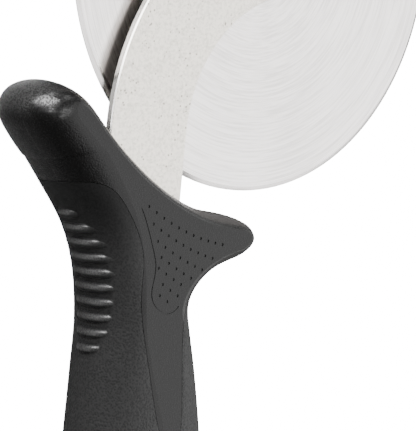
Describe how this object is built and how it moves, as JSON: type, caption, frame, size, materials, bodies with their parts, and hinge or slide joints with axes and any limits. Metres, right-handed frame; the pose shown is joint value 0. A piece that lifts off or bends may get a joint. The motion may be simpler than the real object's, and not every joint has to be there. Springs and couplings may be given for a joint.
{
  "type": "pizza cutter",
  "caption": "Pizza cutter: a sharp steel wheel on a hooked flat strap, spinning freely, with a hard plastic handle, finger and thumb guards, ribbed thumb rest and soft grip.",
  "frame": {"origin": "on the flat back of the handle, on its axis at the waist between the two guards and the palm swell", "axes": "+X across the handle towards the wheel's centre, +Y along the handle from the butt to the wheel, +Z out of the front face, so that the cutter lies on its back"},
  "size_m": [0.1206, 0.2308, 0.0204],
  "materials": {
    "blade_steel": "fine rings turned round the centre",
    "strap_steel": "matt, lightly blasted, with bright bevelled edges",
    "hard_plastic": "fine satin",
    "soft_rubber": "fine leathery grain",
    "bushing_brass": "turned",
    "collar_nylon": "plain moulded nylon",
    "bright_steel": "bright"
  },
  "bodies": {
    "cutter": {"arm": "strap_steel", "handle_core": "hard_plastic", "soft_grip": "soft_rubber", "pivot_bushing": "bushing_brass", "spacer_collar": "collar_nylon", "pivot_screw": "bright_steel", "front_washer": "bright_steel", "rear_washer": "bright_steel", "lock_nut": "bright_steel"},
    "wheel": {"wheel_blade": "blade_steel"}
  },
  "joints": [
    {"name": "wheel_spin", "type": "hinge", "parent": "cutter", "child": "wheel", "pos_m": [0.03885, 0.072, 0.0068], "axis": [0, 0, 1], "continuous": true}
  ]
}
